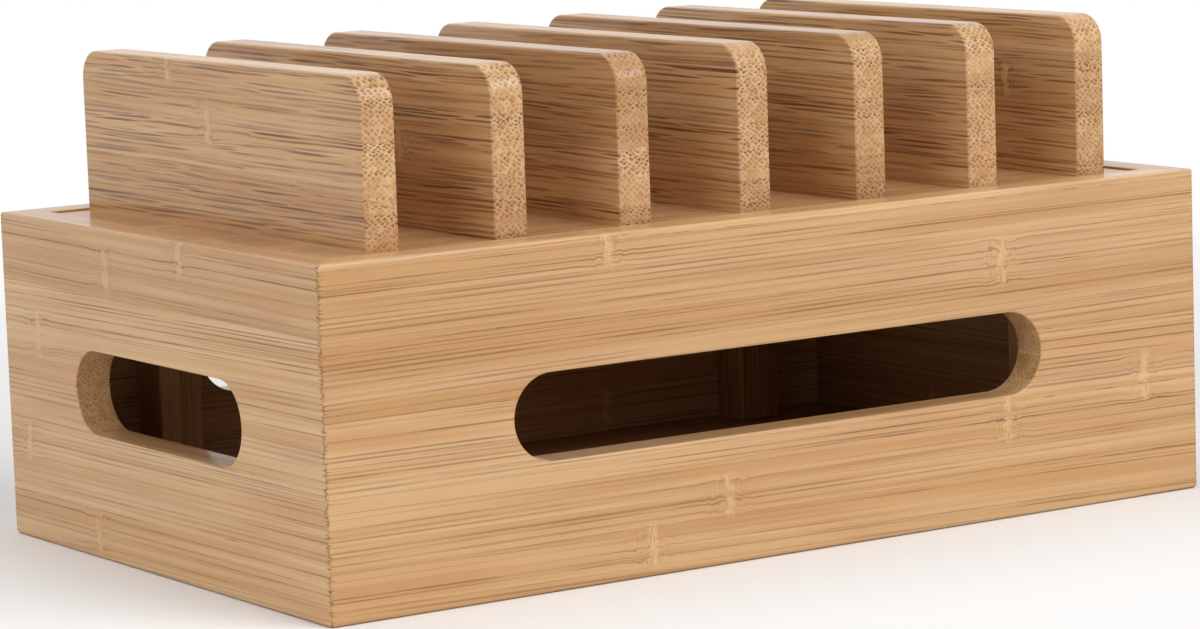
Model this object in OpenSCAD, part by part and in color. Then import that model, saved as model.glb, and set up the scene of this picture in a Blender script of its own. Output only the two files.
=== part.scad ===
// Bamboo charging station: a mitred box with a lift-off lid that carries seven upright dividers.
// Millimetres, +Z up, front at -Y. The origin is the centre of the box's footprint, on the table.

/* [Box] */
// Depth of the box from front to back
box_d = 178; // [150:1:240]
// Height of the box walls
box_h = 91; // [80:0.5:130]
// Thickness of the four walls
wall_t = 10.5; // [8:0.5:14]
// Width of the bevel along the outer arrises of the walls
wall_bevel = 1; // [0.4:0.1:1.5]

/* [Wall openings] */
// End-to-end length of the long slot in the front wall and in the back wall
long_slot_l = 172; // [100:1:200]
// End-to-end length of the hole in the left wall
side_slot_l = 93; // [50:1:110]
// Height of the slots and the left hole, which have fully round ends
slot_h = 23; // [14:0.5:30]
// Height of the centre line of all three openings above the table
slot_z = 45.5; // [35:0.5:50]

/* [Bottom panel] */
// Thickness of the bottom panel
floor_t = 4; // [3:0.5:6]
// Height of the panel's underside above the table
floor_z = 3; // [2:0.5:8]
// Depth of the groove in the walls that holds the panel
groove_d = 4; // [2:0.5:5]
// Clearance of the panel in its groove, over it and beyond its edges
groove_gap = 0.2; // [0.1:0.05:0.5]

/* [Lid posts] */
// Side of each square post that the lid rests on
post_w = 13.5; // [8:0.5:20]
// Distance from a side wall's inner face to the post
post_inset = 24.5; // [5:0.5:40]

/* [Lid] */
// Thickness of the lid panel
lid_t = 10; // [6:0.5:14]
// Clearance between the lid's edge and the walls all round
lid_gap = 1; // [0.5:0.1:2]
// How far the lid's top lies below the top of the walls
lid_drop = 0.5; // [0:0.1:3]
// Distance from the lid's left or right edge to the nearest divider
end_margin = 10; // [6:0.5:40]

/* [Dividers] */
// Clear width between two dividers, which is the thickest device that a bay takes
bay_w = 28.5; // [20:0.5:45]
// Thickness of each divider
divider_t = 10; // [8:0.5:14]
// Height of the dividers above the lid
divider_h = 45; // [30:1:80]
// Distance from a divider's front or back end to the lid's edge
divider_inset = 1; // [0:0.5:10]
// Radius of a divider's top corners
corner_r = 8; // [2:0.5:14]
// Width of the bevel along a divider's upper and end arrises
divider_bevel = 0.8; // [0.2:0.1:1.5]

/* [Screws] */
// Overall length of a countersunk wood screw
screw_l = 25; // [20:1:35]
// Diameter of a screw's shank
screw_d = 3.5; // [3:0.1:4.5]
// Diameter of a screw's countersunk head
head_d = 7; // [6:0.1:9]
// Distance from a divider's end to its nearest screw
screw_inset = 26; // [15:1:50]
// Radial clearance round a screw in its hole and under its head
screw_gap = 0.15; // [0.05:0.05:0.4]

/* [Hidden] */

$fn = 64;
// Overrun of a cutting shape past the face that it opens
over = 1;
divider_count = 7;
pitch = divider_t + bay_w;
lid_l = 2 * end_margin + divider_count * divider_t + (divider_count - 1) * bay_w;
box_l = lid_l + 2 * (lid_gap + wall_t);
inner_d = box_d - 2 * wall_t;
inner_l = box_l - 2 * wall_t;
lid_d = inner_d - 2 * lid_gap;
floor_top = floor_z + floor_t;
lid_top = box_h - lid_drop;
lid_under = lid_top - lid_t;
post_x = inner_l / 2 - post_inset - post_w / 2;
post_y = inner_d / 2 - post_w / 2;
divider_l = lid_d - 2 * divider_inset;
// The 90 degree countersink makes a head as high as its flare is wide
head_h = (head_d - screw_d) / 2;
screw_y = divider_l / 2 - screw_inset;
// Tapered point of a screw, and the blunt radius at its very end
point_h = 3.5;
point_r = 0.4;
// Extra depth of a pilot hole past the screw's point
pilot_extra = 1;
// Cross recess in a screw head: arm length, arm width and depth
recess_l = 3.6;
recess_w = 0.9;
recess_h = 1.4;
BAMBOO = "burlywood";
BAMBOO_DARK = "peru";
STEEL = "silver";

function divider_x(i) = (i - (divider_count - 1) / 2) * pitch;

// Section of a wall through its thickness: x runs from the inner face (0) out to wall_t, y is the height
module wall_section() {
    polygon([
        [0, 0], [wall_t - wall_bevel, 0], [wall_t, wall_bevel],
        [wall_t, box_h - wall_bevel], [wall_t - wall_bevel, box_h], [0, box_h],
        [0, floor_top + groove_gap], [groove_d, floor_top + groove_gap],
        [groove_d, floor_z], [0, floor_z]
    ]);
}

// Plan of a wall with mitred ends: x along the wall, outer face at y = -wall_t, inner face at y = 0
module wall_plan(outer_l) {
    half = outer_l / 2;
    b = wall_bevel;
    polygon([
        [-half + b, -wall_t], [half - b, -wall_t], [half - b / 2, -wall_t + b / 2],
        [half - wall_t, 0], [-half + wall_t, 0], [-half + b / 2, -wall_t + b / 2]
    ]);
}

// Opening with fully round ends, cut through a wall along y
module round_slot(slot_l) {
    reach = (slot_l - slot_h) / 2;
    translate([0, over, slot_z]) rotate([90, 0, 0]) {
        for (side = [-1, 1])
            translate([side * reach, 0, 0]) cylinder(d = slot_h, h = wall_t + 2 * over);
        translate([-reach, -slot_h / 2, 0]) cube([2 * reach, slot_h, wall_t + 2 * over]);
    }
}

// One mitred wall with its groove, standing on the table with its inner face on y = 0
module plain_wall(outer_l) {
    intersection() {
        linear_extrude(box_h) wall_plan(outer_l);
        translate([-outer_l / 2, 0, 0]) rotate([90, 0, 90])
            linear_extrude(outer_l) mirror([1, 0, 0]) wall_section();
    }
}

// A wall with an opening through it
module wall(outer_l, slot_l) {
    difference() {
        plain_wall(outer_l);
        round_slot(slot_l);
    }
}

module front_wall() {
    color(BAMBOO) translate([0, -inner_d / 2, 0]) wall(box_l, long_slot_l);
}

module back_wall() {
    color(BAMBOO) rotate([0, 0, 180]) translate([0, -inner_d / 2, 0]) wall(box_l, long_slot_l);
}

module left_wall() {
    color(BAMBOO) rotate([0, 0, -90]) translate([0, -inner_l / 2, 0]) wall(box_d, side_slot_l);
}

module right_wall() {
    color(BAMBOO) rotate([0, 0, 90]) translate([0, -inner_l / 2, 0]) plain_wall(box_d);
}

// Panel that slides into the groove before the last wall is glued on
module bottom_panel() {
    panel_l = inner_l + 2 * (groove_d - groove_gap);
    panel_d = inner_d + 2 * (groove_d - groove_gap);
    color(BAMBOO_DARK) translate([-panel_l / 2, -panel_d / 2, floor_z]) cube([panel_l, panel_d, floor_t]);
}

// Square post glued to the front or back wall, from the bottom panel up to the lid
module post(x_side, y_side) {
    color(BAMBOO_DARK)
        translate([x_side * post_x - post_w / 2, y_side * post_y - post_w / 2, floor_top])
            cube([post_w, post_w, lid_under - floor_top]);
}

module at_screws() {
    for (i = [0:divider_count - 1])
        for (side = [-1, 1])
            translate([divider_x(i), side * screw_y, lid_under]) children();
}

// Clearance hole with its countersink, opening downwards at the lid's underside
module screw_hole() {
    r = screw_d / 2 + screw_gap;
    translate([0, 0, -over]) cylinder(r = r, h = lid_t + 2 * over);
    translate([0, 0, -over]) cylinder(r1 = r + head_h + over, r2 = r, h = head_h + over);
}

module lid_panel() {
    color(BAMBOO) difference() {
        translate([-lid_l / 2, -lid_d / 2, lid_under]) cube([lid_l, lid_d, lid_t]);
        at_screws() screw_hole();
    }
}

// Side view of a divider, y along the lid and z up, with its two rounded top corners
module divider_side() {
    half = divider_l / 2;
    difference() {
        translate([-half, 0]) square([divider_l, divider_h]);
        for (side = [-1, 1])
            difference() {
                translate([side * half - corner_r, divider_h - corner_r]) square([2 * corner_r, 2 * corner_r]);
                translate([side * (half - corner_r), divider_h - corner_r]) circle(corner_r);
                translate([side * (half - 2 * corner_r) - corner_r, divider_h - 2 * corner_r])
                    square([2 * corner_r, 3 * corner_r]);
            }
    }
}

// Rectangle with its corners cut off, its middle on the origin; the lower two are cut if all_corners is true
module bevelled(w, h, bevel, all_corners) {
    low = all_corners ? bevel : 0;
    polygon([
        [-w / 2 + low, -h / 2], [w / 2 - low, -h / 2], [w / 2, -h / 2 + low], [w / 2, h / 2 - bevel],
        [w / 2 - bevel, h / 2], [-w / 2 + bevel, h / 2], [-w / 2, h / 2 - bevel], [-w / 2, -h / 2 + low]
    ]);
}

module divider_board() {
    intersection() {
        translate([-divider_t / 2, 0, 0]) rotate([90, 0, 90]) linear_extrude(divider_t) divider_side();
        linear_extrude(divider_h) bevelled(divider_t, divider_l, divider_bevel, true);
        translate([0, divider_l / 2, divider_h / 2]) rotate([90, 0, 0])
            linear_extrude(divider_l) bevelled(divider_t, divider_h, divider_bevel, false);
    }
}

// One upright board, screwed on from under the lid
module divider(i) {
    pilot_l = screw_l - lid_t + pilot_extra;
    color(BAMBOO) difference() {
        translate([divider_x(i), 0, lid_top]) divider_board();
        for (side = [-1, 1])
            translate([divider_x(i), side * screw_y, lid_top - over])
                cylinder(r = screw_d / 2 + screw_gap, h = pilot_l + over);
    }
}

// Countersunk screw standing on its head, with a cross recess in the head's face
module wood_screw() {
    difference() {
        union() {
            cylinder(r1 = head_d / 2, r2 = screw_d / 2, h = head_h);
            translate([0, 0, head_h]) cylinder(d = screw_d, h = screw_l - head_h - point_h);
            translate([0, 0, screw_l - point_h]) cylinder(r1 = screw_d / 2, r2 = point_r, h = point_h);
        }
        for (turn = [0, 90])
            rotate([0, 0, turn]) translate([-recess_l / 2, -recess_w / 2, -over])
                cube([recess_l, recess_w, recess_h + over]);
    }
}

module divider_screws() {
    color(STEEL) at_screws() wood_screw();
}

front_wall();
back_wall();
left_wall();
right_wall();
bottom_panel();
post(-1, -1);  // post_front_left
post(1, -1);  // post_front_right
post(-1, 1);  // post_back_left
post(1, 1);  // post_back_right
lid_panel();
divider(0);  // divider_1
divider(1);  // divider_2
divider(2);  // divider_3
divider(3);  // divider_4
divider(4);  // divider_5
divider(5);  // divider_6
divider(6);  // divider_7
divider_screws();
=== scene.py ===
"""Looks of a bamboo charging station: boards, screws, finishes and studio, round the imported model."""
import math

import bmesh
import bpy
import numpy as np
from mathutils import Matrix, Vector


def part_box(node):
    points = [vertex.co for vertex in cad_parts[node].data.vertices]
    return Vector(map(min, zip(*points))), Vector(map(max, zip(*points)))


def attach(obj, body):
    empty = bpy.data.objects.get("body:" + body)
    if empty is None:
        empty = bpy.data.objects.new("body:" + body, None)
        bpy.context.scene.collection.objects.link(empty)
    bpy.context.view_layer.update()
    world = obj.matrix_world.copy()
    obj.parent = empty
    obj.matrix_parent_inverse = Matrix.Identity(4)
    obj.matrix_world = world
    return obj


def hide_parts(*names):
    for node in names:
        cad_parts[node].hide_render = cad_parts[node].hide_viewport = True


bl_info = {
    "name": "Bamboo charging station",
    "version": (1, 0, 0),
    "blender": (4, 5, 0),
    "location": "View3D > Sidebar > Charging station",
    "description": "Builds the boards, screws, bamboo finish and studio of a charging station",
    "category": "Object",
}

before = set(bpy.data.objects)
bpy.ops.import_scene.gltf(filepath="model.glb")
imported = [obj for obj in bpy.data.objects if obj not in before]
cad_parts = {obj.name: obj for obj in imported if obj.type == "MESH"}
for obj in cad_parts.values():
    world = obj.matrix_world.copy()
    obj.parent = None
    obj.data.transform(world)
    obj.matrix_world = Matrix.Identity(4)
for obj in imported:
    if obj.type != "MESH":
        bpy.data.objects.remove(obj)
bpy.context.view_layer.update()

MM = 0.001
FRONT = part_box("front_wall")
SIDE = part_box("left_wall")
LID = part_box("lid_panel")
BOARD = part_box("divider_1")
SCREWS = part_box("divider_screws")
HALF_LENGTH = -SIDE[0].x
HALF_DEPTH = -FRONT[0].y
WALL_HEIGHT = FRONT[1].z
WALL_THICK = FRONT[1].y - FRONT[0].y
POSTS = ("post_front_left", "post_front_right", "post_back_left", "post_back_right")
DIVIDERS = tuple("divider_%d" % number for number in range(1, 8))

# Steps of a rounding, and cells across the mesh window round a screw hole
ARC_STEPS = 4
WINDOW_STEPS = 6
# Points of a surface that lie nearer than this are one point, in metres
MERGE_REACH = 2e-7
# Faces that meet at more than this keep a sharp edge
SHARP_ANGLE = math.radians(32)

# A screw's sizes in metres. HEAD_FACE and THREAD_CUT are shares of a radius. An arm of the cross recess
# fades over RECESS_REACH, and ends at RECESS_END times that reach from the middle
HEAD_RIM = 0.12 * MM
HEAD_FACE = 0.97
POINT_LENGTH = 3.5 * MM
POINT_STEP = 0.3 * MM
TIP_RADIUS = 0.3 * MM
THREAD_PITCH = 1.6 * MM
THREAD_START = 8 * MM
THREAD_CUT = 0.28
RECESS_DEPTH = 1.4 * MM
RECESS_HALF_WIDTH = 0.55 * MM
RECESS_SLOPE = 0.2 * MM
RECESS_REACH = 1.8 * MM
RECESS_END = 1.15
# Steps round a screw, and rings on its face, shank and point
SCREW_SIDES = 32
FACE_RINGS = 15
SHANK_RINGS = 72
POINT_RINGS = 8

# Sizes of the finishes' blots in three directions: along, across and through a board in millimetres, and
# along X, Y and Z of a screw in metres
BROAD_TONES = (190.0, 3.2, 3.2)
FINE_LINES = (130.0, 0.75, 0.75)
HAIRS = (60.0, 0.35, 0.35)
BLOTCHES = (60.0, 14.0, 10.0)
FRAYED_END = (3.0, 0.5, 0.5)
ZINC_CLOUDS = (0.0012, 0.0012, 0.0012)
TURNING_MARKS = (0.004, 0.004, 0.00012)
# Millimetres in a metre, because a board's pattern is laid out in millimetres
PATTERN_SCALE = 1000.0
# Sine of 45 degrees, which turns the lattice of fibre bundles
DIAGONAL = 0.7071

# The floor's reach and drop below the part in metres, and the steps of its disc
FLOOR_REACH = 6.0
FLOOR_DROP = 0.0002
FLOOR_RINGS = 13
FLOOR_SIDES = 96
# Distances from the middle where the floor starts to turn white and is all white, in metres
FLOOR_FADE = (0.22, 0.8)
# What the lights face, and each light's name, place, width in metres and power in watts
LIT_POINT = (0.0, 0.0, 0.06)
LIGHTS = (("key_light", (0.5, -1.5, 1.3), 1.3, 24.0), ("left_light", (-1.6, -0.5, 0.9), 1.2, 9.5),
          ("top_light", (-0.1, 0.5, 1.7), 1.4, 9.0))
WHITE = (1.0, 1.0, 1.0, 1.0)


def divider_middle(name):
    """Middle of a divider across its thickness."""
    low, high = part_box(name)
    return (low.x + high.x) / 2


# Grids and surfaces

def edge_steps(radius):
    """Distances in from a sharp edge: radius times one less the tangent of even turns up to 45 degrees."""
    return radius * (1 - np.tan(np.linspace(0, math.pi / 4, ARC_STEPS + 1)))


def axis_lines(low, high, radius, inner=()):
    """Grid lines from low to high: the edge steps of a rounding at both ends, with inner lines between."""
    steps = edge_steps(radius)
    return np.concatenate([low + steps[::-1], inner, high - steps])


def rounded(points, low, high, radius):
    """A point near an edge of the box is drawn to the box shrunk by radius, and set back out on a ball of
    the same reach: core + away * largest part of away / length of away."""
    core = np.clip(points, np.array(low) + radius, np.array(high) - radius)
    away = points - core
    reach = np.abs(away).max(-1, keepdims=True)
    return core + away * reach / np.maximum(np.linalg.norm(away, axis=-1, keepdims=True), 1e-12)


def rim_loop(us, vs):
    """Points round a window in a plane, along each of its four sides in turn."""
    sides = [(us[:-1], vs[:1]), (us[-1:], vs[:-1]), (us[:0:-1], vs[-1:]), (us[:1], vs[:0:-1])]
    return np.concatenate([np.stack(np.broadcast_arrays(u, v), -1) for u, v in sides])


def bore(rim, core, profile):
    """Loops of a hole. Each rim point keeps its direction from the nearest core point and takes the radius
    of each step of the profile: core + radius * direction. Returns loops x points x (u, v, level)."""
    out = rim - core
    out = out / np.linalg.norm(out, axis=1, keepdims=True)
    loops = [np.column_stack([core + radius * out, np.full(len(rim), level)]) for radius, level in profile]
    return np.stack(loops)


def turned_edge(radius, start, inward):
    """Quarter arc of (radius, level) steps that leads from a face into a hole or out of it again."""
    angle = np.linspace(0, math.pi / 2, ARC_STEPS + 1)
    return radius * (1 - np.sin(angle)), start + inward * radius * (1 - np.cos(angle))


class Skin:
    """A closed surface put together from grids of points, loops of holes and flat end caps."""

    def __init__(self):
        self.points = []
        self.faces = []
        self.count = 0

    def grid(self, points, loop_rows=False, loop_cols=False, skip=()):
        """Adds rows x columns of points with a quad in each cell outside the windows in skip. The quad at
        row r and column c has the corners (r, c), (r+1, c), (r+1, c+1) and (r, c+1)."""
        rows, cols = points.shape[:2]
        index = self.count + np.arange(rows * cols).reshape(rows, cols)
        self.points.append(points.reshape(-1, 3))
        self.count += rows * cols
        index = np.vstack([index, index[:1]]) if loop_rows else index
        index = np.hstack([index, index[:, :1]]) if loop_cols else index
        quads = np.stack([index[:-1, :-1], index[1:, :-1], index[1:, 1:], index[:-1, 1:]], -1)
        keep = np.ones(quads.shape[:2], bool)
        for row0, row1, col0, col1 in skip:
            keep[row0:row1, col0:col1] = False
        self.faces.extend(quads[keep].tolist())

    def cap(self, loop):
        """Closes a flat loop with one face."""
        self.points.append(loop)
        self.faces.append(list(range(self.count, self.count + len(loop))))
        self.count += len(loop)

    def make(self, name, material, body, slot, nodes):
        """Merges the grids into one closed mesh, turns its faces outwards and puts it on its body."""
        mesh = bpy.data.meshes.new(name)
        mesh.from_pydata(np.concatenate(self.points), [], self.faces)
        work = bmesh.new()
        work.from_mesh(mesh)
        bmesh.ops.remove_doubles(work, verts=work.verts, dist=MERGE_REACH)
        bmesh.ops.dissolve_degenerate(work, dist=MERGE_REACH / 2, edges=work.edges)
        bmesh.ops.recalc_face_normals(work, faces=work.faces)
        for face in work.faces:
            face.smooth = True
        work.to_mesh(mesh)
        work.free()
        mesh.set_sharp_from_angle(angle=SHARP_ANGLE)
        piece = bpy.data.objects.new(name, mesh)
        bpy.context.scene.collection.objects.link(piece)
        shading = piece.modifiers.new("even_faces", "WEIGHTED_NORMAL")
        shading.keep_sharp = True
        piece.data.materials.append(material)
        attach(piece, body)
        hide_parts(*nodes)
        return piece


def box_faces(skin, lines, radius, skip=()):
    """The six faces of a box with round edges, as grids on its lines. The windows in skip are left out of
    its lower and upper faces."""
    low = [line[0] for line in lines]
    high = [line[-1] for line in lines]
    for axis in range(3):
        u, v = [other for other in range(3) if other != axis]
        for level in (low[axis], high[axis]):
            points = np.empty((len(lines[u]), len(lines[v]), 3))
            points[..., u] = lines[u][:, None]
            points[..., v] = lines[v][None, :]
            points[..., axis] = level
            skin.grid(rounded(points, low, high, radius), skip=skip if axis == 2 else ())


def plain_board(name, radius, material, slot):
    """A board with round edges that fills its node's box."""
    low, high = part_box(name)
    skin = Skin()
    box_faces(skin, [axis_lines(low[axis], high[axis], radius) for axis in range(3)], radius)
    return skin.make(name + "_board", material, "base", slot, [name])


# Walls

def wall_section(sizes, slot_lines):
    """Closed outline of a wall across its thickness, as (depth from the outer face, height): outer face,
    top, inner face with the groove for the bottom panel, and underside. Its outer edges are sharp. Returns
    it with the row where the slot's lines start on the inner face."""
    thick, high = WALL_THICK, WALL_HEIGHT
    ease = sizes.inner_ease
    angle = np.linspace(0, math.pi / 2, ARC_STEPS + 1)
    panel_low, panel_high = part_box("bottom_panel")
    groove_top = panel_high.z + sizes.groove_gap
    groove_back = thick - sizes.groove_depth
    outer = axis_lines(0, high, sizes.edge_radius, slot_lines)
    steps = edge_steps(sizes.edge_radius)
    parts = [
        np.column_stack([np.zeros(len(outer)), outer]),
        np.column_stack([steps[-2::-1], np.full(ARC_STEPS, high)]),
        np.column_stack([thick - ease + ease * np.sin(angle), high - ease + ease * np.cos(angle)]),
        np.column_stack([np.full(len(slot_lines), thick), slot_lines[::-1]]),
        np.array([[thick, groove_top], [groove_back, groove_top], [groove_back, panel_low.z],
                  [thick, panel_low.z], [thick, 0]]),
        np.column_stack([steps[:-1], np.zeros(ARC_STEPS)]),
    ]
    inner_row = sum(len(part) for part in parts[:3])
    return np.concatenate(parts), inner_row


def slot_hole(sizes, rim, core_half):
    """Loops of a wall's slot, from the rim on its outer face to the one on its inner face. The core is a
    straight line, so the slot's ends are half round, and its edges are quarter arcs."""
    radius = sizes.slot_height / 2
    core = np.column_stack([np.clip(rim[:, 0], -core_half, core_half), np.full(len(rim), sizes.slot_middle)])
    out, level = turned_edge(sizes.rim_radius, 0, 1)
    back, back_level = turned_edge(sizes.rim_radius, WALL_THICK, -1)
    profile = list(zip(radius + out, level)) + list(zip(radius + back[::-1], back_level[::-1]))
    rims = [np.column_stack([rim, np.full(len(rim), at)])[None] for at in (0, WALL_THICK)]
    return np.concatenate([rims[0], bore(rim, core, profile), rims[1]])[..., [0, 2, 1]]


def wall_skin(sizes, half, reach, slot_length):
    """A mitred wall. Its section runs along the wall to the mitres, where half the wall's length is half
    less the depth, so each end is cut at 45 degrees. A wall with a slot length has a slot in its middle, and
    one without stays whole. Points are (along, depth, height)."""
    radius = sizes.slot_height / 2
    core_half = max(slot_length / 2 - radius, radius)
    spread = sizes.slot_margin * np.tan(np.linspace(0, math.pi / 4, 2 * ARC_STEPS + 1))
    heights = sizes.slot_middle + np.concatenate([-spread[:0:-1], spread])
    stations = np.concatenate([-core_half - spread[::-1], core_half + spread])
    section, inner_row = wall_section(sizes, heights)
    depth = section[:, 0]
    end = half - sizes.mitre_gap - depth
    steps = edge_steps(sizes.edge_radius)
    along = np.hstack([
        -end[:, None] + steps[::-1],
        np.broadcast_to(stations, (len(section), len(stations))),
        end[:, None] - steps,
    ])
    points = np.dstack([along, np.broadcast_to(section[:, :1], along.shape),
                        np.broadcast_to(section[:, 1:], along.shape)])
    points = rounded(points, (-half, 0, 0), (half, 2 * reach, WALL_HEIGHT), sizes.edge_radius)
    skin = Skin()
    if slot_length:
        first = ARC_STEPS + 1
        wide = len(stations) - 1
        tall = len(heights) - 1
        windows = [(row, row + tall, first, first + wide) for row in (first, inner_row)]
        skin.grid(points, loop_rows=True, skip=windows)
        skin.grid(slot_hole(sizes, rim_loop(stations, heights), core_half), loop_cols=True)
    else:
        skin.grid(points, loop_rows=True)
    skin.cap(points[:, 0])
    skin.cap(points[:, -1])
    return skin


def turn_wall(skin, reach, quarters):
    """Puts a wall in its place: its outer face reach in front of the middle, then quarter turns round +Z."""
    turn = np.array(Matrix.Rotation(quarters * math.pi / 2, 3, "Z"))
    skin.points = [(part - (0, reach, 0)) @ turn.T for part in skin.points]


# Lid, dividers and screws

def window_lines(middle, half):
    """Grid lines across a square window."""
    return middle + half * np.tan(np.linspace(-math.pi / 4, math.pi / 4, WINDOW_STEPS + 1))


def screw_rows(sizes):
    """Distance from the middle to each of the two rows of screws, front first."""
    half = (BOARD[1].y - BOARD[0].y) / 2 - sizes.screw_inset
    return (-half, half)


def lid_skin(sizes):
    """The lid: a box with round edges, bored through under each divider. A bore flares at the underside to
    the screw's countersink."""
    middles = [divider_middle(name) for name in DIVIDERS]
    half = sizes.screw_window
    columns = np.concatenate([window_lines(middle, half) for middle in middles])
    rows = np.concatenate([window_lines(row, half) for row in screw_rows(sizes)])
    radius = sizes.lid_radius
    lines = [axis_lines(LID[0].x, LID[1].x, radius, columns), axis_lines(LID[0].y, LID[1].y, radius, rows),
             axis_lines(LID[0].z, LID[1].z, radius)]
    first = ARC_STEPS + 1
    step = WINDOW_STEPS + 1
    windows = []
    skin = Skin()
    shank = sizes.screw_width / 2 + sizes.screw_gap
    flare = sizes.head_width / 2 - sizes.screw_width / 2
    for i, middle in enumerate(middles):
        for j, row in enumerate(screw_rows(sizes)):
            windows.append((first + i * step, first + i * step + WINDOW_STEPS,
                            first + j * step, first + j * step + WINDOW_STEPS))
            rim = rim_loop(window_lines(middle, half), window_lines(row, half))
            core = np.broadcast_to(np.array([middle, row]), rim.shape)
            steps = [(shank + flare, LID[0].z), (shank, LID[0].z + flare), (shank, LID[1].z)]
            loops = bore(rim, core, steps)
            low, high = [np.column_stack([rim, np.full(len(rim), z)])[None] for z in (LID[0].z, LID[1].z)]
            skin.grid(np.concatenate([low, loops, high]), loop_cols=True)
    box_faces(skin, lines, radius, windows)
    return skin


def divider_outline(sizes, inset, bottom_lines):
    """Side view of a divider drawn in by inset at its ends and top: a flat foot, and top corners that are
    quarter circles of the corner radius less the inset. The foot stays at the lid."""
    half = (BOARD[1].y - BOARD[0].y) / 2
    foot, top = BOARD[0].z, BOARD[1].z
    corner = sizes.corner_radius - inset
    turn = np.linspace(0, math.pi / 2, 3 * ARC_STEPS + 1)
    far = half - sizes.corner_radius
    up = top - sizes.corner_radius
    right = np.column_stack([far + corner * np.cos(turn), up + corner * np.sin(turn)])
    left = np.column_stack([-far - corner * np.sin(turn), up + corner * np.cos(turn)])
    base = np.concatenate([[inset - half], bottom_lines, [half - inset]])
    return np.concatenate([np.column_stack([base, np.full(len(base), foot)]), right, left])


def divider_skin(sizes, middle):
    """A divider: its side outline carried across its thickness, with the ends and top edges eased by a
    quarter arc, flat sides, and two blind pilot holes in its foot that end in a cone."""
    half_thick = (BOARD[1].x - BOARD[0].x) / 2
    ease = sizes.divider_ease
    angle = np.linspace(0, math.pi / 2, ARC_STEPS + 1)
    arc = half_thick - ease + ease * np.sin(angle)
    across = window_lines(0, sizes.pilot_window)
    offsets = np.concatenate([-arc[::-1], across, arc])
    drawn = ease * (1 - np.cos(angle))
    insets = np.concatenate([drawn[::-1], np.zeros(len(across)), drawn])
    rows = screw_rows(sizes)
    bottom = np.concatenate([window_lines(row, sizes.pilot_window) for row in rows])
    outlines = np.stack([divider_outline(sizes, inset, bottom) for inset in insets], axis=1)
    x = np.broadcast_to(middle + offsets, outlines.shape[:2])
    points = np.dstack([x, outlines])
    skin = Skin()
    col0 = ARC_STEPS + 1
    windows = []
    pilot = sizes.screw_width / 2 + sizes.screw_gap
    deep = BOARD[0].z + sizes.pilot_depth
    for i, row in enumerate(rows):
        row0 = 1 + i * (WINDOW_STEPS + 1)
        windows.append((row0, row0 + WINDOW_STEPS, col0, col0 + WINDOW_STEPS))
        rim = rim_loop(middle + across, window_lines(row, sizes.pilot_window))
        core = np.broadcast_to(np.array([middle, row]), rim.shape)
        loops = bore(rim, core, [(pilot, BOARD[0].z), (pilot, deep - pilot), (1e-9, deep)])
        foot = np.column_stack([rim, np.full(len(rim), BOARD[0].z)])[None]
        skin.grid(np.concatenate([foot, loops]), loop_cols=True)
    skin.grid(points, loop_rows=True, skip=windows)
    skin.cap(points[:, 0])
    skin.cap(points[:, -1])
    return skin


def screw_points(sizes):
    """One countersunk screw standing on its head, as rings round +Z. The head's face is a polar grid sunk by
    the cross recess, which is deepest in the middle and fades along both arms. The thread is a triangle
    wave of the height over the pitch less the turn, cut into the shank."""
    turn = np.linspace(0, 2 * math.pi, SCREW_SIDES + 1)[:-1]
    head = sizes.head_width / 2
    shank = sizes.screw_width / 2
    length = SCREWS[1].z - SCREWS[0].z
    face = head * np.linspace(0, HEAD_FACE, FACE_RINGS)[:, None]
    x, y = face * np.cos(turn), face * np.sin(turn)
    near, far = np.minimum(abs(x), abs(y)), np.maximum(abs(x), abs(y))
    arm = np.clip((RECESS_HALF_WIDTH - near) / RECESS_SLOPE, 0, 1)
    arm = arm * np.clip(RECESS_END - far / RECESS_REACH, 0, 1)
    recess = np.dstack([x, y, RECESS_DEPTH * arm])
    neck = head - shank
    shoulder = length - POINT_LENGTH
    height = np.concatenate([[0, HEAD_RIM], np.linspace(neck, shoulder, SHANK_RINGS),
                             np.linspace(shoulder + POINT_STEP, length, POINT_RINGS)])
    outer = np.interp(height, [0, HEAD_RIM, neck, shoulder, length], [head, head, shank, shank, TIP_RADIUS])
    outer, height = outer[:, None], height[:, None]
    wave = np.abs(((height / THREAD_PITCH - turn / (2 * math.pi)) % 1) * 2 - 1)
    radius = outer - THREAD_CUT * outer * wave * (height > THREAD_START)
    sides = np.dstack([radius * np.cos(turn), radius * np.sin(turn), np.broadcast_to(height, radius.shape)])
    tip = np.zeros((1, len(turn), 3)) + (0, 0, length)
    return np.concatenate([recess, sides, tip])


# Node layouts

class Wire:
    """A value that flows between nodes. Adding, multiplying and so on lays out a Math node."""

    def __init__(self, layout, socket):
        self.layout = layout
        self.socket = socket

    def __add__(self, other):
        return self.layout.math("ADD", self, other)

    def __sub__(self, other):
        return self.layout.math("SUBTRACT", self, other)

    def __rsub__(self, other):
        return self.layout.math("SUBTRACT", other, self)

    def __mul__(self, other):
        return self.layout.math("MULTIPLY", self, other)

    def __truediv__(self, other):
        return self.layout.math("DIVIDE", self, other)


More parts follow.
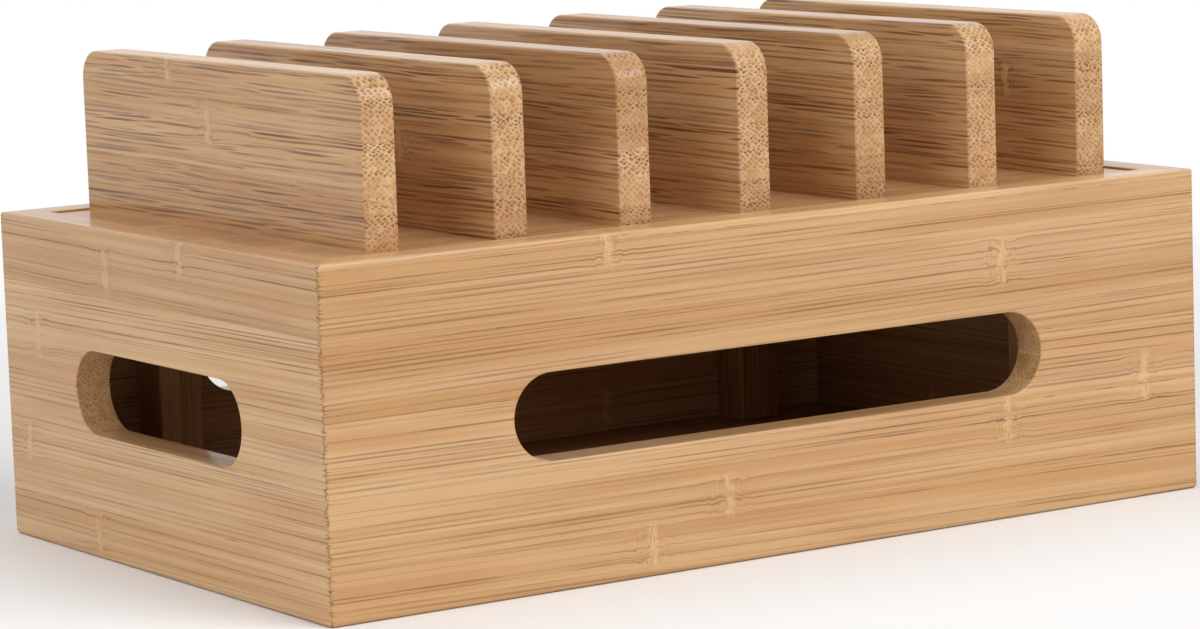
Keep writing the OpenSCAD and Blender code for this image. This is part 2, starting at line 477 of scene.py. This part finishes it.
class Layout:
    """Lays out shader nodes in a tree and links what each of them is given."""

    def __init__(self, tree):
        self.tree = tree

    def add(self, kind, inputs, output=0, **settings):
        node = self.tree.nodes.new(kind)
        for name, value in settings.items():
            setattr(node, name, value)
        for key, value in inputs.items():
            self.feed(node.inputs[key], value)
        return Wire(self, node.outputs[output])

    def feed(self, socket, value):
        if isinstance(value, Wire):
            self.tree.links.new(value.socket, socket)
        else:
            socket.default_value = value

    def math(self, operation, *values):
        return self.add("ShaderNodeMath", dict(enumerate(values)), operation=operation)

    def ramp(self, value, start, end, low=0.0, high=1.0):
        """Smooth step from low to high as value goes from start to end."""
        inputs = dict(enumerate((value, start, end, low, high)))
        return self.add("ShaderNodeMapRange", inputs, interpolation_type="SMOOTHSTEP")

    def join(self, x, y, z):
        return self.add("ShaderNodeCombineXYZ", {0: x, 1: y, 2: z})

    def cloud(self, x, y, z, detail=1.0, roughness=0.5):
        """Soft noise from 0 to 1 at a point whose parts are already divided by the size of its blots."""
        inputs = {"Vector": self.join(x, y, z), "Scale": 1.0, "Detail": detail, "Roughness": roughness}
        return self.add("ShaderNodeTexNoise", inputs)

    def blots(self, blot, x, y, z, detail=1.0, roughness=0.5):
        """Soft noise from 0 to 1 whose blots have a size in each direction."""
        return self.cloud(x / blot[0], y / blot[1], z / blot[2], detail, roughness)

    def tint(self, share, first, second):
        """First colour where share is 0 and second where it is 1."""
        return self.add("ShaderNodeMix", {0: share, 6: first, 7: second}, 2, data_type="RGBA")

    def place(self, group, inputs):
        """Puts a node group into the tree and returns its outputs by name."""
        node = self.tree.nodes.new("ShaderNodeGroup")
        node.node_tree = group
        for key, value in inputs.items():
            self.feed(node.inputs[key], value)
        return {socket.name: Wire(self, socket) for socket in node.outputs}

    def show(self, shader, kind="ShaderNodeOutputMaterial"):
        """Links the last shader to the tree's output."""
        self.feed(self.tree.nodes.new(kind).inputs["Surface"], shader)


def new_material(name):
    """A material without nodes, and the layout to fill it with."""
    material = bpy.data.materials.new(name)
    material.use_nodes = True
    material.node_tree.nodes.clear()
    return material, Layout(material.node_tree)


def node_group(name, inputs, outputs, body):
    """A shader node group with named number sockets, made once. Body lays out its nodes."""
    if name in bpy.data.node_groups:
        return bpy.data.node_groups[name]
    tree = bpy.data.node_groups.new(name, "ShaderNodeTree")
    for label, default in inputs.items():
        socket = tree.interface.new_socket(label, in_out="INPUT", socket_type="NodeSocketFloat")
        socket.default_value = default
    for label in outputs:
        tree.interface.new_socket(label, in_out="OUTPUT", socket_type="NodeSocketFloat")
    layout = Layout(tree)
    start = tree.nodes.new("NodeGroupInput")
    end = tree.nodes.new("NodeGroupOutput")
    given = {label: Wire(layout, start.outputs[label]) for label in inputs}
    for label, wire in body(layout, given).items():
        layout.feed(end.inputs[label], wire)
    return tree


def knuckle_group():
    """The ring where a cane had a joint: fibres pinch and waver round it, and a pale scar crosses them."""
    reach, settled = 11.0, 1.0
    waver_push = 3.4
    bend_length, bend_push = 6.0, 0.22
    scar_wander = 3.5
    scar_edge, scar_core = 2.0, 0.4

    def body(nodes, given):
        along = given["Along"] - given["Knuckle along"]
        across = given["Across"] - given["Knuckle across"]
        half = given["Half width"]
        inside = nodes.ramp(nodes.math("ABSOLUTE", across), half, half * 0.6)
        near = nodes.ramp(nodes.math("ABSOLUTE", along), reach, settled) * inside
        waver = nodes.cloud(along / 2.2, across / 2.0, given["Seed"], 2.0) - 0.5
        bend = nodes.math("SINE", along / bend_length)
        pinch = near * (waver * waver_push + bend * across * bend_push)
        line = along + (nodes.cloud(across / 2.5, given["Seed"], 3.0) - 0.5) * scar_wander
        scar = nodes.ramp(nodes.math("ABSOLUTE", line), scar_edge, scar_core) * inside
        return {"Shift": pinch, "Scar": scar, "Near": near}

    inputs = {"Along": 0.0, "Across": 0.0, "Knuckle along": 0.0, "Knuckle across": 0.0, "Half width": 9.0,
              "Seed": 0.0}
    return node_group("Bamboo knuckle", inputs, ("Shift", "Scar", "Near"), body)


def strip_group():
    """Glued strips of a board, each with its own shade, slant and cane, with a fine glue line between."""
    edge_wander = 0.6
    slant_reach = 0.035
    cane_spread = 40.0
    glue_edge, glue_core = 0.2, 0.06
    glue_always, glue_broken = 0.15, 0.85

    def body(nodes, given):
        seed = given["Seed"]
        wander = (nodes.cloud(given["Along"] / 120.0, seed, 0.0) - 0.5) * edge_wander
        row = (given["Across"] + wander) / given["Strip"] + seed
        number = nodes.math("FLOOR", row)
        local = nodes.math("FRACT", row)
        pick = nodes.add("ShaderNodeTexWhiteNoise", {"Vector": nodes.join(number, seed, 0.5)}, 1)
        parts = nodes.add("ShaderNodeSeparateColor", {0: pick})
        shade, slant, cane = [Wire(nodes, socket) for socket in parts.socket.node.outputs]
        edge = nodes.math("MINIMUM", local, 1.0 - local) * given["Strip"]
        broken = nodes.ramp(nodes.cloud(given["Along"] / 9.0, number * 5.0, seed, 3.0), 0.5, 0.6)
        stretch = nodes.ramp(nodes.cloud(given["Along"] / 60.0, number * 3.0, seed), 0.5, 0.62)
        joint = nodes.ramp(edge, glue_edge, glue_core) * (broken * stretch * glue_broken + glue_always)
        moved = given["Across"] + given["Along"] * (slant - 0.5) * slant_reach + cane * cane_spread
        return {"Shade": shade, "Local": local, "Joint": joint, "Fibre across": moved, "Cane": cane}

    inputs = {"Along": 0.0, "Across": 0.0, "Strip": 18.0, "Seed": 0.0}
    return node_group("Bamboo strips", inputs, ("Shade", "Local", "Joint", "Fibre across", "Cane"), body)


def bundle_group():
    """Dark fibre bundles that run along the cane on a slanted lattice: dots on end grain, and streaks on
    faces as they drift in and out of the surface."""
    soft_outside, soft_inside = 0.09, 0.07
    always, varied = 0.45, 0.55

    def body(nodes, given):
        along, across, through = given["Along"], given["Across"], given["Through"]
        slow = along / given["Dash"]
        side = (nodes.cloud(slow, across / 8.0, given["Seed"] + 3.0) - 0.5) * given["Drift"]
        deep = (nodes.cloud(slow, across / 5.0, given["Seed"] + 9.0) - 0.5) * given["Drift"] * 2.0
        u = across + side
        v = through + deep
        spacing = given["Spacing"]
        lattice = nodes.join((u + v) * DIAGONAL / spacing, (u - v) * DIAGONAL / spacing, 0.0)
        inputs = {"Vector": lattice, "Scale": 1.0, "Randomness": 0.5}
        distance = nodes.add("ShaderNodeTexVoronoi", inputs, voronoi_dimensions="2D")
        cell = nodes.add("ShaderNodeSeparateColor", {0: Wire(nodes, distance.socket.node.outputs["Color"])})
        dot = nodes.ramp(distance, given["Size"] + soft_outside, given["Size"] - soft_inside)
        fade = nodes.ramp(nodes.cloud(along / 26.0, across / 3.0, given["Seed"]), 0.3, 0.62, 0.35, 1.0)
        return {"Bundle": dot * (cell * varied + always) * fade}

    inputs = {"Along": 0.0, "Across": 0.0, "Through": 0.0, "Spacing": 1.15, "Size": 0.27, "Drift": 1.2,
              "Dash": 80.0, "Seed": 0.0}
    return node_group("Bamboo bundles", inputs, ("Bundle",), body)


def grain_axes(fibre):
    """Turn that lays a board's fibre, strip and thickness directions on X, Y and Z."""
    rows = {
        "length": ((1, 0, 0), (0, 0, 1), (0, -1, 0)),
        "flat": ((1, 0, 0), (0, 1, 0), (0, 0, 1)),
        "depth": ((0, 1, 0), (0, 0, 1), (1, 0, 0)),
        "upright": ((0, 0, 1), (1, 0, 0), (0, 1, 0)),
    }[fibre]
    return Matrix(rows).to_euler()


def bamboo(name, look, fibre, seed, strip=18.0, shade=0.0, strength=1.0, drift=1.0, dash=80.0, size=0.27,
           spacing=1.2, quiet=1.0, knuckles=(), mitre=0.0):
    """Lacquered bamboo for one board. Knuckles are (along, across, half width) in millimetres, shade darkens
    the board from 0 to 1 (painted shade on the bottom panel and posts inside the box), quiet scales the fine
    lines, and mitre is half a mitred wall's length, or 0."""
    material, nodes = new_material(name)
    place = nodes.add("ShaderNodeTexCoord", {}, "Object")
    inputs = {"Vector": place, "Rotation": grain_axes(fibre), "Scale": (PATTERN_SCALE,) * 3}
    board = nodes.add("ShaderNodeMapping", inputs, vector_type="POINT")
    parts = nodes.add("ShaderNodeSeparateXYZ", {0: board})
    along, across, through = [Wire(nodes, socket) for socket in parts.socket.node.outputs]
    pushed, scar, near = across, None, None
    for number, (at, row, half) in enumerate(knuckles):
        values = {"Along": along, "Across": across, "Knuckle along": at, "Knuckle across": row,
                  "Half width": half, "Seed": seed + number * 2.3}
        ring = nodes.place(knuckle_group(), values)
        pushed = pushed + ring["Shift"]
        scar = ring["Scar"] if scar is None else nodes.math("MAXIMUM", scar, ring["Scar"])
        near = ring["Near"] if near is None else nodes.math("MAXIMUM", near, ring["Near"])
    strips = nodes.place(strip_group(), {"Along": along, "Across": across, "Strip": strip, "Seed": seed})
    fibre_row = strips["Fibre across"] + (pushed - across)
    layer = through + strips["Cane"] * 9.0
    local = strips["Local"]
    packed = fibre_row + local * local * strip * 0.22
    values = {"Along": along, "Across": packed, "Through": layer, "Drift": drift, "Dash": dash, "Size": size,
              "Spacing": spacing, "Seed": seed}
    bundle = nodes.place(bundle_group(), values)["Bundle"]
    broad = nodes.blots(BROAD_TONES, along, fibre_row, layer)
    lines = nodes.blots(FINE_LINES, along, fibre_row, layer, 2.0, 0.55)
    hair = nodes.blots(HAIRS, along, fibre_row, layer)
    blotch = nodes.blots(BLOTCHES, along, across, layer)
    colour = nodes.tint(nodes.ramp(broad, 0.3, 0.7), tuple(look.pale), tuple(look.tan))
    colour = nodes.tint(nodes.ramp(blotch, 0.45, 0.75, 0.0, 0.45), colour, tuple(look.rosy))
    # Darker strips tint towards the toasted colour, and the board's shade adds to that; on the bottom panel
    # and posts this shade is painted shade
    colour = nodes.tint(strips["Shade"] * 0.5 + shade, colour, tuple(look.toasted_and_painted_shade))
    colour = nodes.tint(nodes.ramp(hair, 0.45, 0.75, 0.0, 0.16 * quiet), colour, tuple(look.streak))
    line_share = nodes.ramp(lines, 0.55, 0.74, 0.0, 0.5 * strength * quiet)
    colour = nodes.tint(line_share, colour, tuple(look.streak))
    full = bundle * (nodes.ramp(local, 0.0, 0.8, 0.65, 1.0) * strength)
    if scar is not None:
        full = full * (1.0 - scar * 0.85)
        wisps = nodes.cloud(along / 0.45, across / 3.0, layer, 1.0)
        pale_scar = scar * nodes.ramp(wisps, 0.4, 0.6, 0.6, 0.1)
        colour = nodes.tint(pale_scar, colour, tuple(look.pale))
        full = nodes.math("MAXIMUM", full, near * nodes.ramp(wisps, 0.62, 0.7) * 0.4)
    colour = nodes.tint(full * 0.8, colour, tuple(look.bundle))
    colour = nodes.tint(strips["Joint"] * 0.8, colour, tuple(look.bundle))
    if mitre:
        end = mitre - nodes.math("ABSOLUTE", along)
        frayed = nodes.blots(FRAYED_END, along, across, through, 2.0)
        seam = nodes.ramp(end - nodes.ramp(frayed, 0.45, 0.75) * 1.5, 0.35, 0.05)
        colour = nodes.tint(seam * 0.55, colour, tuple(look.bundle))
    rough = nodes.ramp(lines, 0.3, 0.7, look.roughness - 0.04, look.roughness + 0.06)
    height = lines * 0.3 - full * 0.8 - strips["Joint"]
    relief = nodes.add("ShaderNodeBump", {"Strength": look.relief, "Distance": 0.0001, "Height": height})
    shader = nodes.add("ShaderNodeBsdfPrincipled", {
        "Base Color": colour, "Roughness": rough, "Normal": relief, "IOR": 1.45,
        "Specular IOR Level": 0.25, "Coat Weight": look.lacquer, "Coat Roughness": 0.09, "Coat IOR": 1.5})
    nodes.show(shader)
    return material


def zinc(look):
    """Zinc-plated steel: bright grey with soft cloudy roughness and fine turning marks."""
    material, nodes = new_material("zinc_plated_steel")
    place = nodes.add("ShaderNodeTexCoord", {}, "Object")
    parts = nodes.add("ShaderNodeSeparateXYZ", {0: place})
    x, y, z = [Wire(nodes, socket) for socket in parts.socket.node.outputs]
    cloudy = nodes.blots(ZINC_CLOUDS, x, y, z, 3.0)
    marks = nodes.blots(TURNING_MARKS, x, y, z, 2.0)
    colour = nodes.tint(cloudy, tuple(look.zinc), (0.42, 0.42, 0.4, 1.0))
    relief = nodes.add("ShaderNodeBump", {"Strength": 0.2, "Distance": 0.00005, "Height": marks})
    shader = nodes.add("ShaderNodeBsdfPrincipled", {
        "Base Color": colour, "Metallic": 1.0, "Roughness": nodes.ramp(cloudy, 0.2, 0.8, 0.24, 0.42),
        "Normal": relief})
    nodes.show(shader)
    return material


# Sizes and colours that a user would change

def size(name, description, default):
    """A length property in millimetres of model space."""
    return bpy.props.FloatProperty(name=name, description=description, default=default * MM, unit="LENGTH",
                                   precision=5)


def paint(name, description, default):
    """A colour property."""
    return bpy.props.FloatVectorProperty(name=name, description=description, default=default + (1.0,),
                                         size=4, subtype="COLOR", min=0.0, max=1.0)


class StationSizes(bpy.types.PropertyGroup):
    """Sizes of the boards and screws that the frame's boxes don't give."""
    edge_radius: size("Wall edge", "Rounding of the walls' outer edges", 0.9)
    inner_ease: size("Inner edge", "Rounding of the walls' inner top edges", 0.35)
    mitre_gap: size("Mitre gap", "Hairline left at each wall's mitred end", 0.03)
    groove_depth: size("Groove depth", "Depth of the bottom panel's groove", 4)
    groove_gap: size("Groove gap", "Clearance over the bottom panel", 0.2)
    long_slot: size("Long slot", "Length of the front and back slots", 172)
    side_slot: size("Side hole", "Length of the hole in the left wall", 93)
    slot_height: size("Slot height", "Height of all three openings", 23)
    slot_middle: size("Slot middle", "Height of the openings' centre line", 45.5)
    slot_margin: size("Slot margin", "Reach of the mesh window round an opening", 15)
    rim_radius: size("Slot rim", "Rounding of the openings' rims", 0.5)
    post_radius: size("Post edge", "Rounding of the posts' edges", 0.5)
    lid_radius: size("Lid edge", "Rounding of the lid's edges", 0.5)
    corner_radius: size("Divider corner", "Radius of the dividers' top corners", 8)
    divider_ease: size("Divider edge", "Rounding of the dividers' edges", 0.8)
    screw_inset: size("Screw inset", "Distance from a divider's end to its screw", 26)
    screw_width: size("Screw width", "Diameter of a screw", 3.5)
    head_width: size("Head width", "Diameter of a screw's head", 7)
    screw_gap: size("Screw gap", "Clearance round a screw", 0.15)
    screw_window: size("Lid window", "Half width of the mesh window round a screw in the lid", 4.6)
    pilot_window: size("Pilot window", "Half width of the mesh window round a pilot hole", 3.4)
    pilot_depth: size("Pilot depth", "Depth of a pilot hole in a divider", 16)


class StationLook(bpy.types.PropertyGroup):
    """Colours and gloss of the bamboo and the screws."""
    pale: paint("Pale", "Palest bamboo", (0.76, 0.50, 0.26))
    tan: paint("Tan", "Main bamboo colour", (0.64, 0.365, 0.15))
    rosy: paint("Rosy", "Pinkish patches", (0.60, 0.31, 0.15))
    # Dark end of the strips' tone, and also the colour of the painted shade on the bottom panel and posts
    # inside the box
    toasted_and_painted_shade: paint("Toasted", "Darker strips", (0.40, 0.19, 0.065))
    streak: paint("Streak", "Fine fibre lines", (0.36, 0.16, 0.055))
    bundle: paint("Bundle", "Dark fibre bundles", (0.12, 0.045, 0.018))
    zinc: paint("Zinc", "Screw plating", (0.62, 0.62, 0.6))
    roughness: bpy.props.FloatProperty(name="Roughness", description="Roughness of the wood", default=0.4)
    relief: bpy.props.FloatProperty(name="Relief", description="Depth of the grain's relief", default=0.35)
    lacquer: bpy.props.FloatProperty(name="Lacquer", description="Weight of the clear lacquer", default=0.4)


class StationStage(bpy.types.PropertyGroup):
    """Camera, light and backdrop."""
    camera_place: bpy.props.FloatVectorProperty(
        name="Camera place", description="Camera's place in the part's frame",
        default=(-0.66479, -1.0120, 0.21985), subtype="TRANSLATION", unit="LENGTH")
    camera_turn: bpy.props.FloatProperty(
        name="Camera turn", description="View direction from +Y towards +X", default=math.radians(33.274),
        subtype="ANGLE")
    camera_dip: bpy.props.FloatProperty(
        name="Camera dip", description="View direction below the horizon", default=math.radians(7.716),
        subtype="ANGLE")
    camera_roll: bpy.props.FloatProperty(
        name="Camera roll", description="Turn about the view direction", default=math.radians(-1.961),
        subtype="ANGLE")
    camera_lens: bpy.props.FloatProperty(
        name="Lens", description="Focal length on a 36 mm sensor", default=130.14, subtype="DISTANCE_CAMERA")
    world_strength: bpy.props.FloatProperty(
        name="Room light", description="Strength of the even light from all round", default=0.3)
    floor_paint: paint("Floor", "Colour of the floor", (0.95, 0.95, 0.95))


def sizes_of(context):
    return context.scene.station_sizes


def look_of(context):
    return context.scene.station_look


# Knuckles, as (along, across, half width) in millimetres
FRONT_KNUCKLES = ((72.5, 71.5, 8.0), (73.8, 27.8, 8.0), (123.1, 34.3, 8.5), (-20.1, 18.3, 7.0),
                  (-44.7, 8.2, 7.0), (-55.8, 88.0, 7.0))
LEFT_KNUCKLES = ((-16.8, 87.0, 6.0), (25.9, 80.0, 8.0), (68.4, 58.5, 8.0), (77.0, 27.8, 7.0),
                 (36.6, 7.0, 7.0))
BACK_KNUCKLES = ((-96.0, 64.0, 8.0), (-88.0, 22.0, 8.0), (31.0, 78.0, 7.0), (52.0, 14.0, 7.0))
RIGHT_KNUCKLES = ((-52.0, 72.0, 8.0), (-60.0, 24.0, 7.0), (48.0, 82.0, 7.0), (20.0, 12.0, 7.0))
DIVIDER_KNUCKLES = (((26.0, 133.0, 5.0), (4.0, 119.0, 7.0)), ((-30.0, 112.0, 6.0),), ((22.0, 120.0, 6.0),),
                    (), ((-12.0, 101.0, 6.0),), ((35.0, 127.0, 6.0),), ((-45.0, 116.0, 6.0),))
# How much darker than its pale bamboo each divider is, from 0 to 1
DIVIDER_SHADES = (0.0, 0.06, 0.16, 0.04, 0.14, 0.1, 0.12)


class STATION_OT_walls(bpy.types.Operator):
    """Make the four mitred walls with their openings"""
    bl_idname = "station.walls"
    bl_label = "Walls"

    def execute(self, context):
        sizes, look = sizes_of(context), look_of(context)
        long_wall = (HALF_LENGTH, HALF_DEPTH, sizes.long_slot)
        left_wall = (HALF_DEPTH, HALF_LENGTH, sizes.side_slot)
        right_wall = (HALF_DEPTH, HALF_LENGTH, 0)
        walls = (("front_wall", 0, long_wall, "length", FRONT_KNUCKLES, 3.31),
                 ("right_wall", 1, right_wall, "depth", RIGHT_KNUCKLES, 5.87),
                 ("back_wall", 2, long_wall, "length", BACK_KNUCKLES, 7.53),
                 ("left_wall", 3, left_wall, "depth", LEFT_KNUCKLES, 9.19))
        for name, quarters, (half, reach, slot_length), fibre, knuckles, seed in walls:
            wood = bamboo(name + "_bamboo", look, fibre, seed, 19.0, strength=0.85, drift=0.7, dash=150.0,
                          size=0.25, knuckles=knuckles, mitre=half / MM)
            skin = wall_skin(sizes, half, reach, slot_length)
            turn_wall(skin, reach, quarters)
            skin.make(name + "_board", wood, "base", "wall_bamboo", [name])
        return {"FINISHED"}


class STATION_OT_bottom(bpy.types.Operator):
    """Make the bottom panel that sits in the walls' groove"""
    bl_idname = "station.bottom"
    bl_label = "Bottom panel"

    def execute(self, context):
        # shade 0.5 is painted shade: the panel lies inside the box, where little light reaches
        wood = bamboo("bottom_bamboo", look_of(context), "flat", 2.4, 21.0, shade=0.5)
        plain_board("bottom_panel", 0.3 * MM, wood, "inner_bamboo")
        return {"FINISHED"}


class STATION_OT_posts(bpy.types.Operator):
    """Make the four square posts that carry the lid"""
    bl_idname = "station.posts"
    bl_label = "Lid posts"

    def execute(self, context):
        # shade 0.5 is painted shade: the posts stand inside the box, where little light reaches
        wood = bamboo("post_bamboo", look_of(context), "upright", 6.2, 7.0, shade=0.5)
        for name in POSTS:
            plain_board(name, sizes_of(context).post_radius, wood, "inner_bamboo")
        return {"FINISHED"}


class STATION_OT_lid(bpy.types.Operator):
    """Make the lid panel with its screw holes"""
    bl_idname = "station.lid"
    bl_label = "Lid panel"

    def execute(self, context):
        wood = bamboo("lid_bamboo", look_of(context), "flat", 4.7, 20.0, shade=0.25)
        lid_skin(sizes_of(context)).make("lid_board", wood, "lid", "lid_bamboo", ["lid_panel"])
        return {"FINISHED"}


class STATION_OT_dividers(bpy.types.Operator):
    """Make the seven upright dividers, each from its own piece of bamboo"""
    bl_idname = "station.dividers"
    bl_label = "Dividers"

    def execute(self, context):
        sizes, look = sizes_of(context), look_of(context)
        for number, name in enumerate(DIVIDERS):
            wood = bamboo(name + "_bamboo", look, "depth", 1.3 + 2.77 * number, 15.5, DIVIDER_SHADES[number],
                          strength=1.15, drift=2.4, dash=60.0, size=0.34, spacing=1.3, quiet=0.45,
                          knuckles=DIVIDER_KNUCKLES[number])
            skin = divider_skin(sizes, divider_middle(name))
            skin.make(name + "_board", wood, "lid", "divider_bamboo", [name])
        return {"FINISHED"}


class STATION_OT_screws(bpy.types.Operator):
    """Make the fourteen countersunk screws that hold the dividers"""
    bl_idname = "station.screws"
    bl_label = "Screws"

    def execute(self, context):
        sizes = sizes_of(context)
        one = screw_points(sizes)
        skin = Skin()
        for name in DIVIDERS:
            for row in screw_rows(sizes):
                skin.grid(one + (divider_middle(name), row, SCREWS[0].z), loop_cols=True)
        skin.make("divider_screw_set", zinc(look_of(context)), "lid", "screw_steel", ["divider_screws"])
        return {"FINISHED"}


def area_light(name, place, target, width, power):
    """A square soft light that faces its target."""
    data = bpy.data.lights.new(name, "AREA")
    data.size = width
    data.energy = power
    light = bpy.data.objects.new(name, data)
    bpy.context.scene.collection.objects.link(light)
    light.location = place
    light.rotation_euler = (Vector(target) - Vector(place)).to_track_quat("-Z", "Y").to_euler()


def backdrop_white(nodes):
    """1 for rays that show the background: from the camera, or by way of gloss or glass."""
    path = nodes.add("ShaderNodeLightPath", {}).socket.node
    labels = ("Is Camera Ray", "Is Glossy Ray", "Is Transmission Ray")
    camera, glossy, through = [Wire(nodes, path.outputs[label]) for label in labels]
    return nodes.math("MAXIMUM", nodes.math("MAXIMUM", camera, glossy), through)


class STATION_OT_stage(bpy.types.Operator):
    """Make the pale floor, the soft lights, the white backdrop and the camera"""
    bl_idname = "station.stage"
    bl_label = "Stage"

    def execute(self, context):
        stage = context.scene.station_stage
        scene = context.scene
        scene.view_settings.view_transform = "Standard"
        self.world(scene, stage)
        self.floor(stage)
        for name, place, width, power in LIGHTS:
            area_light(name, place, LIT_POINT, width, power)
        self.camera(scene, stage)
        return {"FINISHED"}

    def world(self, scene, stage):
        """Even room light, which shows as white behind the object."""
        world = bpy.data.worlds.new("studio")
        scene.world = world
        world.use_nodes = True
        world.node_tree.nodes.clear()
        nodes = Layout(world.node_tree)
        share = backdrop_white(nodes)
        strength = share * (1.0 - stage.world_strength) + stage.world_strength
        light = nodes.add("ShaderNodeBackground", {"Color": WHITE, "Strength": strength})
        nodes.show(light, "ShaderNodeOutputWorld")

    def floor(self, stage):
        """A wide pale disc that fades to the white backdrop away from the object."""
        turn = np.linspace(0, 2 * math.pi, FLOOR_SIDES + 1)[:-1]
        radius = np.linspace(0.0, FLOOR_REACH, FLOOR_RINGS)[:, None]
        level = np.full((FLOOR_RINGS, FLOOR_SIDES), -FLOOR_DROP)
        rings = np.dstack([radius * np.cos(turn), radius * np.sin(turn), level])
        skin = Skin()
        skin.grid(rings, loop_cols=True)
        mesh = bpy.data.meshes.new("floor")
        mesh.from_pydata(np.concatenate(skin.points), [], skin.faces)
        floor = bpy.data.objects.new("floor", mesh)
        bpy.context.scene.collection.objects.link(floor)
        material, nodes = new_material("pale_floor")
        place = nodes.add("ShaderNodeTexCoord", {}, "Object")
        away = nodes.add("ShaderNodeVectorMath", {0: place}, "Value", operation="LENGTH")
        mottle = nodes.add("ShaderNodeTexNoise", {"Vector": place, "Scale": 3.0, "Detail": 2.0})
        paint_colour = nodes.tint(mottle * 0.2, tuple(stage.floor_paint), (0.93, 0.93, 0.93, 1.0))
        matt = nodes.add("ShaderNodeBsdfDiffuse", {"Color": paint_colour})
        white = nodes.add("ShaderNodeEmission", {"Color": WHITE, "Strength": 1.0})
        share = nodes.ramp(away, *FLOOR_FADE) * backdrop_white(nodes)
        mixed = nodes.add("ShaderNodeMixShader", {0: share, 1: matt, 2: white})
        nodes.show(mixed)
        floor.data.materials.append(material)

    def camera(self, scene, stage):
        """The photograph's camera: turned, dipped and rolled, with no shift and everything sharp."""
        data = bpy.data.cameras.new("camera")
        data.lens = stage.camera_lens
        data.sensor_width = 36.0
        data.clip_start, data.clip_end = 0.01, 50.0
        camera = bpy.data.objects.new("camera", data)
        scene.collection.objects.link(camera)
        turn = Matrix.Rotation(-stage.camera_turn, 4, "Z")
        dip = Matrix.Rotation(math.pi / 2 - stage.camera_dip, 4, "X")
        roll = Matrix.Rotation(stage.camera_roll, 4, "Z")
        camera.matrix_world = Matrix.Translation(stage.camera_place) @ turn @ dip @ roll
        scene.camera = camera


class STATION_PT_build(bpy.types.Panel):
    """Lists what can be built"""
    bl_label = "Charging station"
    bl_idname = "STATION_PT_build"
    bl_space_type = "VIEW_3D"
    bl_region_type = "UI"
    bl_category = "Charging station"

    def draw(self, context):
        for operator in OPERATORS:
            self.layout.operator(operator.bl_idname)
        for group in (context.scene.station_sizes, context.scene.station_look, context.scene.station_stage):
            box = self.layout.box()
            for name in group.bl_rna.properties.keys():
                if name not in ("rna_type", "name"):
                    box.prop(group, name)


OPERATORS = (STATION_OT_walls, STATION_OT_bottom, STATION_OT_posts, STATION_OT_lid, STATION_OT_dividers,
             STATION_OT_screws, STATION_OT_stage)
CLASSES = (StationSizes, StationLook, StationStage) + OPERATORS + (STATION_PT_build,)


def register():
    for cls in CLASSES:
        bpy.utils.register_class(cls)
    bpy.types.Scene.station_sizes = bpy.props.PointerProperty(type=StationSizes)
    bpy.types.Scene.station_look = bpy.props.PointerProperty(type=StationLook)
    bpy.types.Scene.station_stage = bpy.props.PointerProperty(type=StationStage)


def unregister():
    del bpy.types.Scene.station_sizes
    del bpy.types.Scene.station_look
    del bpy.types.Scene.station_stage
    for cls in reversed(CLASSES):
        bpy.utils.unregister_class(cls)


def main():
    """Builds every piece and the stage."""
    register()
    bpy.ops.station.walls()
    bpy.ops.station.bottom()
    bpy.ops.station.posts()
    bpy.ops.station.lid()
    bpy.ops.station.dividers()
    bpy.ops.station.screws()
    bpy.ops.station.stage()


if __name__ == "__main__":
    main()
